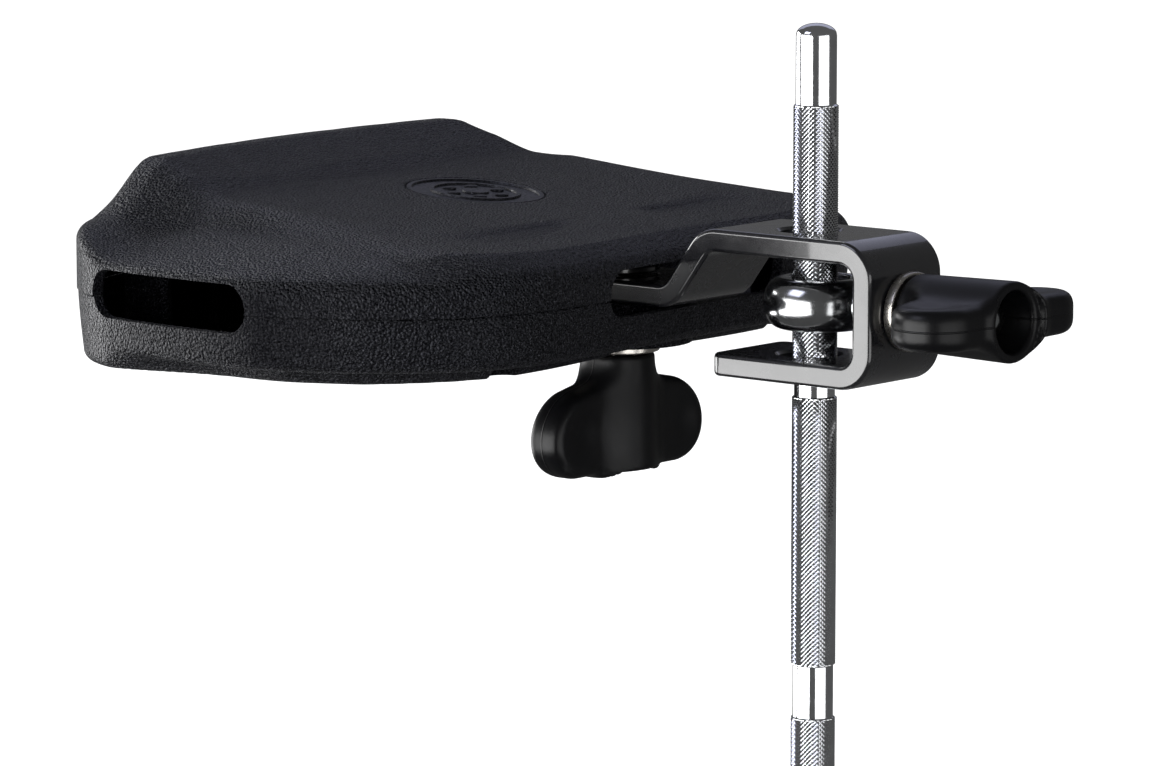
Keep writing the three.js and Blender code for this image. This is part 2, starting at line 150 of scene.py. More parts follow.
def with_boolean(mesh, tools):
    """The mesh after a list of (operation, mesh) steps."""
    obj = object_from(mesh, "work")
    helpers = [object_from(tool, "tool") for _, tool in tools]
    for (operation, _), helper in zip(tools, helpers):
        step = obj.modifiers.new("step", "BOOLEAN")
        step.operation = operation
        step.solver = "MANIFOLD"
        step.object = helper
    made = baked(obj)
    for extra in [obj, *helpers]:
        bpy.data.objects.remove(extra)
    return made


def joined(meshes):
    """One mesh that holds several."""
    bm = bmesh.new()
    for mesh in meshes:
        bm.from_mesh(mesh)
    whole = bpy.data.meshes.new("shape")
    bm.to_mesh(whole)
    bm.free()
    return whole


def bevelled(mesh, width, chosen=lambda point: True, angle=35, steps=3, clamp=True):
    """Rounds the edges sharper than an angle whose middle, in millimetres, passes the test."""
    bm = bmesh.new()
    bm.from_mesh(mesh)
    bmesh.ops.remove_doubles(bm, verts=bm.verts, dist=WELD_DISTANCE)
    bmesh.ops.dissolve_degenerate(bm, edges=bm.edges, dist=WELD_DISTANCE)
    sharp = [edge for edge in bm.edges
             if len(edge.link_faces) == 2 and edge.calc_face_angle(0) > math.radians(angle)
             and chosen((edge.verts[0].co + edge.verts[1].co) / 2 / MM)]
    bmesh.ops.bevel(bm, geom=sharp, offset=width * MM, segments=steps, profile=0.5,
                    affect="EDGES", clamp_overlap=clamp)
    bm.to_mesh(mesh)
    bm.free()
    return mesh


def flat_shaded(obj):
    """The object's mesh with normals that lean to its larger faces, so flats stay flat."""
    step = obj.modifiers.new("step", "WEIGHTED_NORMAL")
    step.keep_sharp = True
    made = baked(obj)
    obj.modifiers.remove(step)
    return made


def piece(name, mesh, material, body, slot, *nodes, smooth=38, weighted=False):
    """A finished piece: it rides on a body, takes a material and stands for CAD nodes.

    An edge bent by more than the smooth angle, in degrees, stays sharp. The slot argument is not used.
    """
    obj = object_from(mesh, name)
    mesh.name = name
    mesh.materials.clear()
    mesh.materials.append(material)
    mesh.shade_smooth()
    mesh.set_sharp_from_angle(angle=math.radians(smooth))
    if weighted:
        obj.data = mesh = flat_shaded(obj)
        mesh.name = name
    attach(obj, body)
    if nodes:
        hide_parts(*nodes)
    return obj


def fillet(points, radius, steps=5, closed=True):
    """A drawn outline with its corners rounded; each point may carry its own radius."""
    plain = [np.array(point[:2], float) for point in points]
    radii = [point[2] if len(point) > 2 else radius for point in points]
    result = []
    for i, corner in enumerate(plain):
        if radii[i] <= 0 or (not closed and i in (0, len(plain) - 1)):
            result.append(corner)
            continue
        before = plain[i - 1] - corner
        after = plain[(i + 1) % len(plain)] - corner
        before_length, after_length = np.linalg.norm(before), np.linalg.norm(after)
        before, after = before / before_length, after / after_length
        half = math.acos(np.clip(before @ after, -1, 1)) / 2
        if half > math.radians(89):
            result.append(corner)
            continue
        reach = min(radii[i] / math.tan(half), 0.49 * before_length, 0.49 * after_length)
        bend = reach * math.tan(half)
        inward = (before + after) / np.linalg.norm(before + after)
        centre = corner + inward * bend / math.sin(half)
        start, end = corner + before * reach - centre, corner + after * reach - centre
        first, last = math.atan2(start[1], start[0]), math.atan2(end[1], end[0])
        sweep = (last - first + math.pi) % (2 * math.pi) - math.pi
        for k in range(steps + 1):
            angle = first + sweep * k / steps
            result.append(centre + bend * np.array([math.cos(angle), math.sin(angle)]))
    return result


def grid_faces(rows, columns, wrap_rows=False):
    """Quads of a grid that closes round its columns, and round its rows where asked."""
    faces = []
    for i in range(rows if wrap_rows else rows - 1):
        above = (i + 1) % rows
        for j in range(columns):
            side = (j + 1) % columns
            faces.append((i * columns + j, i * columns + side, above * columns + side, above * columns + j))
    return faces


def end_fans(rows, columns):
    """Triangles that close a grid's first and last rows; their poles are the two points after it."""
    first, last = rows * columns, (rows - 1) * columns
    faces = []
    for j in range(columns):
        side = (j + 1) % columns
        faces += [(side, j, first), (last + j, last + side, first + 1)]
    return faces


def lathe(profile, sides=72, closed=True):
    """A body turned about Z. Profile points are (radius, height); an open one is capped."""
    angles = np.arange(sides) * 2 * math.pi / sides
    points = [(r * math.cos(a), r * math.sin(a), z) for r, z in profile for a in angles]
    faces = grid_faces(len(profile), sides, closed)
    if not closed:
        points += [(0, 0, profile[0][1]), (0, 0, profile[-1][1])]
        faces += end_fans(len(profile), sides)
    return points, faces


def rectangle(low, high, half):
    """A rectangle from low to high along X, and half to each side along Y."""
    return [(low, -half), (high, -half), (high, half), (low, half)]


def prism(outline, low, high):
    """A flat outline in XY raised from low to high, anticlockwise seen from above."""
    count = len(outline)
    points = [(x, y, z) for z in (low, high) for x, y in outline]
    faces = grid_faces(2, count)
    faces += [tuple(reversed(range(count))), tuple(range(count, 2 * count))]
    return points, faces


def stadium(low, high, bottom, top, steps=14):
    """A slot's outline with round ends."""
    radius, centre = (top - bottom) / 2, (top + bottom) / 2
    points = []
    for x, start in ((high - radius, -math.pi / 2), (low + radius, math.pi / 2)):
        for k in range(steps + 1):
            angle = start + math.pi * k / steps
            points.append((x + radius * math.cos(angle), centre + radius * math.sin(angle)))
    return points


def smoothstep(t):
    """0 up to t = 0, 1 from t = 1, and a smooth curve between."""
    t = np.clip(t, 0, 1)
    return t * t * (3 - 2 * t)


# ------------------------------------------------------------------ materials


class Nodes:
    """A new material's node tree, with short ways to add and join nodes."""

    def __init__(self, name, **sockets):
        self.material = bpy.data.materials.new(name)
        self.material.use_nodes = True
        self.tree = self.material.node_tree
        self.shader = self.tree.nodes["Principled BSDF"]
        for socket, value in sockets.items():
            self.shader.inputs[socket.replace("_", " ")].default_value = value
        self.place = self.tree.nodes.new("ShaderNodeTexCoord").outputs["Object"]

    def add(self, kind, inputs=(), **settings):
        """A new node, with its inputs set to values or joined to other nodes."""
        node = self.tree.nodes.new("ShaderNode" + kind)
        for key, value in settings.items():
            setattr(node, key, value)
        for key, value in dict(inputs).items():
            self.put(node.inputs[key], value)
        return node

    def put(self, socket, value):
        """Joins another node's output to a socket, or sets the socket to a value."""
        if isinstance(value, bpy.types.NodeSocket):
            self.tree.links.new(value, socket)
        else:
            socket.default_value = value

    def noise(self, scale, detail=3.0, rough=0.5, distortion=0.0):
        """Soft noise from 0 to 1, with about one lump in 1 / scale metres."""
        inputs = {"Vector": self.place, "Scale": scale, "Detail": detail, "Roughness": rough,
                  "Distortion": distortion}
        return self.add("TexNoise", inputs).outputs["Fac"]

    def cells(self, scale, soft):
        """Rounded cells, as the distance to the nearest cell's middle."""
        inputs = {"Vector": self.place, "Scale": scale, "Smoothness": soft}
        return self.add("TexVoronoi", inputs, feature="SMOOTH_F1").outputs["Distance"]

    def spread(self, value, low, high, start=0.0, end=1.0):
        """Maps start..end of a value to low..high."""
        node = self.add("MapRange", {"Value": value, "From Min": start, "From Max": end,
                                     "To Min": low, "To Max": high})
        return node.outputs["Result"]

    def maths(self, operation, a, b=0.0):
        return self.add("Math", {0: a, 1: b}, operation=operation).outputs[0]

    def tint(self, value, dark, light):
        """A colour between two, by a value from 0 to 1."""
        node = self.add("Mix", data_type="RGBA")
        self.put(node.inputs["Factor"], value)
        for socket, colour in zip([s for s in node.inputs if s.type == "RGBA"], (dark, light)):
            socket.default_value = (*colour, 1)
        return [s for s in node.outputs if s.type == "RGBA"][0]

    def bump(self, height, distance):
        """A bumped normal; the distance is in metres."""
        return self.add("Bump", {"Height": height, "Distance": distance}).outputs["Normal"]

    def use(self, **links):
        """Joins values to the shader's sockets, and gives the finished material."""
        for socket, value in links.items():
            self.put(self.shader.inputs[socket.replace("_", " ")], value)
        return self.material


def shell_material(name, grain, depth):
    """Near-black moulded plastic with a pebbled grain; grain is the pebbles' count a metre."""
    n = Nodes(name, Specular_Tint=(0.86, 0.88, 1.0, 1.0))
    pebbles = n.cells(grain, soft=0.25)
    fine = n.noise(grain * 1.4, detail=4.0, rough=0.6)
    patches = n.noise(28, detail=3.0)
    height = n.maths("SUBTRACT", n.maths("MULTIPLY", fine, 0.9), pebbles)
    return n.use(
        Base_Color=n.tint(patches, (0.0018, 0.0018, 0.0026), (0.0028, 0.0028, 0.0040)),
        Roughness=n.spread(n.noise(60, detail=4.0), 0.34, 0.44),
        Specular_IOR_Level=n.spread(fine, 0.05, 0.6, 0.36, 0.64),
        Normal=n.bump(height, depth))


def metal_material(name, colour, low, high, scratch=0.0):
    """Plated metal: uneven colour and roughness, and fine polishing marks where asked."""
    n = Nodes(name, Metallic=1.0)
    blotches = n.noise(180, detail=5.0, rough=0.6)
    dark = tuple(0.86 * part for part in colour)
    links = {"Base_Color": n.tint(n.spread(blotches, 0, 1, 0.3, 0.62), dark, colour),
             "Roughness": n.spread(n.noise(420, detail=6.0, rough=0.65), low, high, 0.3, 0.7)}
    if scratch:
        links["Normal"] = n.bump(n.noise(2600, detail=2.0), scratch)
    return n.use(**links)


def paint_material(name):
    """Smooth gloss black paint with a slight orange peel."""
    n = Nodes(name, Coat_Weight=1.0, Coat_Roughness=0.05, IOR=1.5)
    peel = n.noise(520, detail=2.0)
    wide = n.noise(70, detail=4.0, rough=0.6)
    return n.use(
        Base_Color=n.tint(wide, (0.003, 0.003, 0.004), (0.006, 0.006, 0.007)),
        Roughness=n.spread(wide, 0.2, 0.36, 0.3, 0.7),
        Normal=n.bump(n.maths("ADD", peel, n.maths("MULTIPLY", wide, 0.6)), 0.00002))


def nut_material(name, axis, place):
    """Satin black moulded plastic with a parting line where a plane meets the surface."""
    n = Nodes(name, Specular_IOR_Level=0.22)
    along = n.add("SeparateXYZ", {0: n.place}).outputs[axis]
    away = n.maths("ABSOLUTE", n.maths("SUBTRACT", along, place))
    line = n.spread(away, 1.0, 0.0, 0.00005, 0.00022)
    grain = n.noise(2400, detail=3.0)
    flow = n.noise(55, detail=3.0, distortion=0.8)
    height = n.maths("ADD", n.maths("MULTIPLY", grain, 0.1), line)
    return n.use(
        Base_Color=n.tint(flow, (0.0012, 0.0012, 0.0016), (0.0024, 0.0024, 0.0030)),
        Roughness=n.spread(flow, 0.3, 0.46, 0.3, 0.7),
        Normal=n.bump(height, 0.00012))


SHELL = shell_material("shell_plastic", 1600, 0.0018)
BADGE = shell_material("badge_plastic", 1500, 0.0001)
CHROME = metal_material("rod_chrome", (0.82, 0.83, 0.85), 0.05, 0.16)
EYE_CHROME = metal_material("eye_chrome", (0.5, 0.51, 0.52), 0.13, 0.2)
STEEL = metal_material("zinc_steel", (0.66, 0.63, 0.58), 0.2, 0.36, scratch=0.00002)
PAINT = paint_material("bracket_paint")
EYE_NUT_PLASTIC = nut_material("eye_nut_plastic", "Z", (EYE_Z + CLAMP_Z) * MM)
PIVOT_NUT_PLASTIC = nut_material("pivot_nut_plastic", "X", PIVOT_X * MM)

# ------------------------------------------------------------------ rod

ROD_NECK_RADIUS = 4.25
ROD_PLAIN_END = 16.7
FIRST_NECK_DROP = 3.8
FIRST_NECK_LENGTH = 7.2
NECK_LENGTH = 10.8
NECK_PITCH = 67.5
NECK_EDGE = 0.15
DOME_HEIGHT = 2.4
DOME_STEPS = 15
KNURL_DEPTH = 0.3
KNURL_COLUMNS = 62
KNURL_STEP = 2 * math.pi * ROD_RADIUS / KNURL_COLUMNS
KNURL_MARGIN = 0.4
KNURL_SHOULDER = 0.3


def rod_rows(length):
    """The rod's profile from its foot up, as (radius, height, 1 where the row is knurled)."""
    neck, shoulder = CLAMP_Z - FIRST_NECK_DROP, ROD_RADIUS - KNURL_DEPTH / 2
    bands = [(ROD_PLAIN_END, neck - 2 * NECK_PITCH),
             (neck - 2 * NECK_PITCH + NECK_LENGTH, neck - NECK_PITCH),
             (neck - NECK_PITCH + NECK_LENGTH, neck),
             (neck + FIRST_NECK_LENGTH, length - ROD_PLAIN_END)]
    rows = [(3.45, 0, 0), (3.9, 0.15, 0), (4.2, 0.55, 0)]
    rows += [(ROD_NECK_RADIUS, 0.9, 0), (ROD_NECK_RADIUS, 1.2, 0)]
    for low, high in bands:
        first, last = low + KNURL_MARGIN, high - KNURL_MARGIN
        count = round((last - first) / KNURL_STEP)
        rows += [(ROD_NECK_RADIUS, low - NECK_EDGE, 0), (ROD_NECK_RADIUS, low, 0)]
        rows += [(shoulder, low + KNURL_SHOULDER, 0)]
        rows += [(ROD_RADIUS, first + (last - first) * k / count, 1) for k in range(count + 1)]
        rows += [(shoulder, high - KNURL_SHOULDER, 0)]
        rows += [(ROD_NECK_RADIUS, high, 0), (ROD_NECK_RADIUS, high + NECK_EDGE, 0)]
    dome = length - DOME_HEIGHT
    rows += [(ROD_NECK_RADIUS, dome - 0.5, 0), (ROD_NECK_RADIUS, dome - 0.2, 0)]
    for k in range(1, DOME_STEPS):
        angle = k / DOME_STEPS * math.pi / 2
        rows.append((0.15 + (ROD_NECK_RADIUS - 0.2) * math.cos(angle),
                     dome + (DOME_HEIGHT - 0.05) * math.sin(angle), 0))
    return rows


def rod_mesh():
    """The rod: smooth turned necks, and knurled bands where every second point of a grid is sunk."""
    length = extent("rod")[1][2]
    rows = rod_rows(length)
    angles = np.arange(KNURL_COLUMNS) * 2 * math.pi / KNURL_COLUMNS
    points, faces = [], []
    for i, (radius, z, knurled) in enumerate(rows):
        reach = radius - KNURL_DEPTH * knurled * ((np.arange(KNURL_COLUMNS) + i) % 2)
        points += list(zip(reach * np.cos(angles), reach * np.sin(angles), np.full(KNURL_COLUMNS, z)))
    for k, (a, b, c, d) in enumerate(grid_faces(len(rows), KNURL_COLUMNS)):
        i, j = divmod(k, KNURL_COLUMNS)
        if not (rows[i][2] and rows[i + 1][2]):
            faces.append((a, b, c, d))
        elif (i + j) % 2:
            faces += [(a, b, c), (a, c, d)]
        else:
            faces += [(a, b, d), (b, c, d)]
    points += [(0, 0, 0), (0, 0, length)]
    return mesh_from(points, faces + end_fans(len(rows), KNURL_COLUMNS))


piece("rod_knurled", rod_mesh(), CHROME, "rod", "rod_chrome", "rod", smooth=24)

# ------------------------------------------------------------------ clamp bracket

STRAP_HALF_WIDTH = 12.25
STRAP_THICKNESS = 4.8
STRAP_HEIGHT = 30.6
STRAP_WALL_X = 21.1
STRAP_KNEE_X = -19.8
STRAP_TIP_X = -18.3
TONGUE_BEND_X = -29.3
TONGUE_Z = 14.3
STRAP_BEND = 5.7
STRAP_CORNER = 3.0
STRAP_EDGE = 0.9
HOLE_CHAMFER_IN, HOLE_CHAMFER_OUT = 0.6, 0.4


def strap_outline():
    """Side view of the bent strap, in x and z."""
    low, high, tongue = STRAP_THICKNESS / 2, STRAP_HEIGHT - STRAP_THICKNESS / 2, BLOCK_Z + TONGUE_Z
    centre = [(STRAP_TIP_X, low), (STRAP_WALL_X, low), (STRAP_WALL_X, high), (STRAP_KNEE_X, high),
              (TONGUE_BEND_X, tongue), (PIVOT_X - STRAP_HALF_WIDTH, tongue)]
    path = [np.array(point) for point in fillet(centre, STRAP_BEND, steps=16, closed=False)]
    sides = []
    for sign in (1, -1):
        side = []
        for i, point in enumerate(path):
            ahead = path[min(i + 1, len(path) - 1)] - path[max(i - 1, 0)]
            ahead /= np.linalg.norm(ahead)
            side.append(point + sign * STRAP_THICKNESS / 2 * np.array([-ahead[1], ahead[0]]))
        sides.append(side)
    return sides[1] + sides[0][::-1]


def end_plan(start, end, side):
    """Plan of one end of the strap, with its corners rounded."""
    return fillet([(start, -side, STRAP_CORNER), (end, -side, 0), (end, side, 0),
                   (start, side, STRAP_CORNER)], 0, steps=10)


def bracket_mesh():
    """The strap with its long edges rounded, then cut to its ends and drilled."""
    side, thick, spare, beyond, middle_x = STRAP_HALF_WIDTH, STRAP_THICKNESS, 0.02, 5, 5
    rounding = {"angle": 40, "steps": 4, "clamp": False}
    strap = mesh_from(*prism(strap_outline(), -side, side), AT_CLAMP @ STANDING)
    strap = bevelled(strap, STRAP_EDGE, **rounding)
    arm_plan = end_plan(STRAP_TIP_X - spare, middle_x + 1, side + spare)
    arm = bevelled(mesh_from(*prism(arm_plan, -spare, thick + spare), AT_CLAMP), STRAP_EDGE, **rounding)
    wall_plan = rectangle(middle_x - 1, STRAP_WALL_X + beyond, side + beyond)
    wall = mesh_from(*prism(wall_plan, -beyond, STRAP_HEIGHT + beyond), AT_CLAMP)
    tongue_plan = end_plan(PIVOT_X - side, middle_x, side + 2)
    tongue = mesh_from(*prism(tongue_plan, thick + 1, STRAP_HEIGHT + beyond), AT_CLAMP)
    keep = with_boolean(arm, [("UNION", wall), ("UNION", tongue)])

    radius, wide, into, out = ROD_HOLE_RADIUS, ROD_HOLE_RADIUS + 1, HOLE_CHAMFER_IN, HOLE_CHAMFER_OUT
    lower = [(wide, -out), (radius, into), (radius, thick - into), (wide, thick + out)]
    upper = [(r, STRAP_HEIGHT - z) for r, z in lower[::-1]]
    bolt_bar = [(BOLT_HOLE_RADIUS, STRAP_WALL_X - beyond), (BOLT_HOLE_RADIUS, STRAP_WALL_X + beyond)]
    neck = BOLT_RADIUS + CLEARANCE
    holes = [mesh_from(*lathe(lower + upper, 96, closed=False), moved(x=-ROD_HOLE_X)),
             mesh_from(*lathe(bolt_bar, closed=False), moved(z=EYE_Z, turn=math.pi / 2, axis="Y")),
             mesh_from(*prism(rectangle(-neck, neck, neck), TONGUE_Z - 10, TONGUE_Z + 10), AT_PIVOT)]
    return with_boolean(strap, [("INTERSECT", keep)] + [("DIFFERENCE", hole) for hole in holes])


piece("bracket_strap", bracket_mesh(), PAINT, "clamp", "bracket_paint", "bracket",
      smooth=30, weighted=True)

# ------------------------------------------------------------------ bolts, washers, inserts

THREAD_PITCH = 1.25
THREAD_DEPTH = 0.62
THREAD_SIDES = 48
ROWS_PER_THREAD = 8
EYE_INNER, EYE_OUTER = 6.5, 11.8
EYE_HALF_HEIGHT = 5.3
EYE_BARREL = 3.9
EYE_END_X = 46.0
PIVOT_END_Z = -19.5
HEAD_RADIUS = 9.0
HEAD_RIM = 0.9
HEAD_DOME = 3.1
WASHER_THICKNESS = 2.2
BUSH_RADIUS = 6.05
BUSH_LENGTH = 12.0


def threaded(low, high):
    """A threaded bar along Z, with its high end chamfered."""
    rows = int((high - low) / THREAD_PITCH * ROWS_PER_THREAD) + 1
    heights = np.linspace(low, high, rows)
    angles = np.arange(THREAD_SIDES) * 2 * math.pi / THREAD_SIDES
    turn, height = np.meshgrid(angles / (2 * math.pi), heights)
    phase = (height / THREAD_PITCH - turn) % 1
    crest = np.clip(np.minimum(phase, 1 - phase) * 2.3 - 0.15, 0, 1)
    reach = BOLT_RADIUS - THREAD_DEPTH * (1 - crest)
    reach = np.minimum(reach, BOLT_RADIUS + high - height - 0.95)
    points = np.stack([reach * np.cos(angles), reach * np.sin(angles), height], -1).reshape(-1, 3).tolist()
    points += [(0, 0, low), (0, 0, high + 0.9)]
    return points, grid_faces(rows, THREAD_SIDES) + end_fans(rows, THREAD_SIDES)


def washer_mesh(outer, place):
    """A flat washer with its edges rounded."""
    inner, high = BOLT_HOLE_RADIUS, WASHER_THICKNESS
    corners = [(inner, 0), (outer, 0), (outer, high), (inner, high)]
    return mesh_from(*lathe(fillet(corners, 0.35), 96), place)


def eye_bolt_mesh():
    """Barrel-sided ring round the rod, on a threaded shank."""
    half, shank_end = EYE_HALF_HEIGHT, 24.5
    corners = [(EYE_INNER, half, 0.9), (EYE_INNER, -half, 0.9)]
    for angle in np.radians(np.linspace(-90, 90, 37)):
        reach = EYE_OUTER - EYE_BARREL + EYE_BARREL * math.cos(angle) ** 0.9
        corners.append((reach, half * math.sin(angle), 0))
    ring = mesh_from(*lathe(fillet(corners, 0, steps=6), 144), AT_EYE)
    along = AT_EYE @ Matrix.Rotation(math.pi / 2, 4, "Y")
    shank = mesh_from(*lathe([(BOLT_RADIUS, 8.5), (BOLT_RADIUS, shank_end)], 48, closed=False), along)
    thread = mesh_from(*threaded(shank_end - 0.5, EYE_END_X - ROD_HOLE_X), along)
    return with_boolean(ring, [("UNION", shank), ("UNION", thread)])


def bush_mesh(place):
    """Metal bush of a wing nut, with a threaded look inside and a chamfered mouth."""
    low, high, bore = 0.5, BUSH_LENGTH, BOLT_RADIUS + CLEARANCE
    thread = [(bore + 0.28 * (k % 2), low + 0.4 + THREAD_PITCH / 4 * k) for k in range(34)]
    inside = [(bore + 0.3, low), *thread, (bore + 0.2, high - 0.4), (bore + 0.6, high)]
    outside = [(BUSH_RADIUS - 0.2, high), (BUSH_RADIUS, high - 0.2), (BUSH_RADIUS, low)]
    return mesh_from(*lathe(inside + outside, 64), place)


def pivot_bolt_mesh():
    """Carriage bolt: domed head, square neck in the strap and a thread below."""
    seat, neck_low, thread_top = TONGUE_Z + STRAP_THICKNESS / 2 + CLEARANCE, 11.8, 13.0
    head = [(HEAD_RADIUS - 0.4, seat), (HEAD_RADIUS, seat + 0.35)]
    for angle in np.linspace(0, 1.52, 16):
        head.append((HEAD_RADIUS * math.cos(angle), seat + HEAD_RIM + HEAD_DOME * math.sin(angle)))
    dome = mesh_from(*lathe(head, 72, closed=False), AT_PIVOT)
    square = rectangle(-BOLT_RADIUS, BOLT_RADIUS, BOLT_RADIUS)
    neck = mesh_from(*prism(fillet(square, 0.5), neck_low, seat + 1), AT_PIVOT)
    down = AT_PIVOT @ Matrix.Rotation(math.pi, 4, "X")
    thread = mesh_from(*threaded(-thread_top, -PIVOT_END_Z), down)
    return with_boolean(dome, [("UNION", neck), ("UNION", thread)])


piece("eye_bolt_ring", eye_bolt_mesh(), EYE_CHROME, "eye", "eye_chrome", "eye_bolt", smooth=30)
piece("eye_washer_ring", washer_mesh(8.2, AT_EYE_WASHER), STEEL, "clamp", "zinc_steel", "eye_washer")
piece("pivot_washer_ring", washer_mesh(9, AT_PIVOT_WASHER), STEEL, "pivot_seat", "zinc_steel",
      "pivot_washer")
piece("pivot_carriage_bolt", pivot_bolt_mesh(), PAINT, "clamp", "bracket_paint", "pivot_bolt", smooth=30)
piece("eye_nut_bush", bush_mesh(AT_EYE_NUT), STEEL, "eye_nut", "zinc_steel", "eye_nut_insert")
piece("pivot_nut_bush", bush_mesh(AT_PIVOT_NUT), STEEL, "pivot_nut", "zinc_steel", "pivot_nut_insert")

# ------------------------------------------------------------------ wing nuts


def surface_net(field, low, high, step):
    """Closed quad mesh of a field's zero surface.

    Each grid cell that the surface crosses gets a point, in the middle of its crossings, and the
    points are then moved along the field's slope onto the surface.
    """
    low = np.array(low, float)
    axes = [np.arange(a, b + step, step) for a, b in zip(low, high)]
    values = field(*np.meshgrid(*axes, indexing="ij"))
    cells = tuple(n - 1 for n in values.shape)
    total, count, quads = np.zeros(cells + (3,)), np.zeros(cells), []
    unit = np.eye(3, dtype=int)
    for axis in range(3):
        lower = [slice(None)] * 3
        upper = [slice(None)] * 3
        lower[axis], upper[axis] = slice(None, -1), slice(1, None)
        start = np.argwhere((values[tuple(lower)] < 0) != (values[tuple(upper)] < 0))
        f0 = values[tuple(start.T)]
        f1 = values[tuple((start + unit[axis]).T)]
        crossing = low + step * (start + (f0 / (f0 - f1))[:, None] * unit[axis])
        a, b = unit[(axis + 1) % 3], unit[(axis + 2) % 3]
        around = [start - a - b, start - b, start, start - a]
        for cell in around:
            np.add.at(total, tuple(cell.T), crossing)
            np.add.at(count, tuple(cell.T), 1)
        ids = np.stack([np.ravel_multi_index(cell.T, cells) for cell in around], -1)
        quads.append(np.where((f0 < 0)[:, None], ids, ids[:, ::-1]))
    used = count.ravel() > 0
    number = np.cumsum(used) - 1
    points = total.reshape(-1, 3)[used] / count.ravel()[used][:, None]
    near = 0.02
    for _ in range(4):
        value = field(*points.T)
        slope = np.stack([(field(*(points + near * d).T) - field(*(points - near * d).T)) / (2 * near)
                          for d in np.eye(3)], -1)
        shift = (value / np.maximum((slope ** 2).sum(-1), 0.2))[:, None] * slope
        points = points - np.clip(shift, -step / 3, step / 3)
    return points, number[np.concatenate(quads)]


def soft_max(a, b, k):
    """The larger of two values, with the corner between them rounded over a width k."""
    h = np.maximum(k - np.abs(a - b), 0) / k
    return np.maximum(a, b) + h * h * k / 4


def soft_min(a, b, k):
    """The smaller of two values, rounded in the same way."""
    return -soft_max(-a, -b, k)


NUT_LENGTH = 24.9
NUT_HUB_RADIUS = 7.9
NUT_BORE_RADIUS = 6.35
WING_HALF_SPAN = 25.0
WING_HALF_THICKNESS = 4.55
WING_START, WING_END = 5.3, 25.4
WING_CORNER = 8.9
DISH_DEPTH = 0.95
NUT_MESH_STEP = 0.45


def wing_nut_field(x, y, z):
    """Hub with two thick ears that fair into it, dished on their faces, with a clear bore."""
    radius, across = np.hypot(x, y), np.abs(y)
    hub = soft_max(radius - NUT_HUB_RADIUS - 0.02 * z, np.abs(z - NUT_LENGTH / 2) - NUT_LENGTH / 2, 1.2)
    start = WING_START + 0.2 * np.maximum(0, across - 8)
    centre, half = (start + WING_END) / 2, (WING_END - start) / 2
    corner = np.minimum(WING_CORNER, half - 0.1)
    past_y = across - (WING_HALF_SPAN - corner)
    past_z = np.abs(z - centre) - (half - corner)
    outside = np.hypot(np.maximum(past_y, 0), np.maximum(past_z, 0))
    outline = outside + np.minimum(np.maximum(past_y, past_z), 0) - corner
    dish = DISH_DEPTH * np.exp(-((across - 16.5) / 5.0) ** 2 - ((z - 15.6) / 5.2) ** 2)
    ears = soft_max(outline, np.abs(x) - WING_HALF_THICKNESS + dish, 3.4)
    body = soft_max(soft_min(hub, ears, 4.0), -z, 0.6)
    mouth = NUT_BORE_RADIUS + 0.5 - radius - (NUT_LENGTH - z) * 0.7
    top = NUT_LENGTH + 3 * np.maximum(0, radius - NUT_HUB_RADIUS - 0.4)
    bore = np.maximum(NUT_BORE_RADIUS - radius, mouth)
    return np.maximum(soft_max(body, z - top, 0.4), bore)


def wing_nut_mesh(place):
    """The wing nut's surface, in a box that holds all of it."""
    return mesh_from(*surface_net(wing_nut_field, (-10, -27, -1.5), (10, 27, 27), NUT_MESH_STEP), place)


piece("eye_wing_nut_moulding", wing_nut_mesh(AT_EYE_NUT), EYE_NUT_PLASTIC, "eye_nut", "nut_plastic",
      "eye_wing_nut", smooth=50)
piece("pivot_wing_nut_moulding", wing_nut_mesh(AT_PIVOT_NUT), PIVOT_NUT_PLASTIC, "pivot_nut",
      "nut_plastic", "pivot_wing_nut", smooth=50)

# ------------------------------------------------------------------ block shells

SEAM_Z = 15.0
SEAM_GAP = 0.16
SEAM_STEP = 0.3
WALL = 3.0
RIM_Z = 22.0
RIM_ROUND = 2.5
FOOT_Z = 3.6
BACK_FOOT_Z = 1.0
FOOT_ROUND = 2.4
FOOT_DRAFT = 1.1
BELLY_Z = 0.0
BELLY_SLOPE = 5.5
PAD_Z = 2.4
PAD_RADIUS = 12.0
SLOT_LOW, SLOT_HIGH = 11.05, 21.15
SLOT_ROUND = 0.55
SIDE_SLOT = (-70.5, -25.5)
FRONT_SLOT = 31.0
PLATFORM_Z = 28.0
PLATFORM_SLOPE = 0.09
RIDGE_Z = 40.0
RIDGE_X = -89.0
RIDGE_HALF = 53.0
HUB = np.array([-38.0, 0.0])
BADGE_RADIUS = 15.2
BADGE_DEPTH = 0.9
BOSS_RADIUS = 5.0
SCREW_SEAT_Z = 5.0
SCREW_HOLE_RADIUS = 2.05
SCREW_HOLE_TOP = 21.3
HEAD_HOLE_RADIUS = 4.0
PIVOT_BOSS_RADIUS = 16.0
RING_POINTS = 400
EDGE_ZONE = 26.0
OUTLINE = [(21, 0), (21, 34), (19.6, 50), (16.6, 62.5), (10.8, 72), (3.6, 79), (-4.6, 85), (-14, 89.4),
           (-25, 93.1), (-46, 93.2), (-68, 89.2), (-79, 83), (-87, 73), (-93, 58), (-97, 32), (-98, 0)]


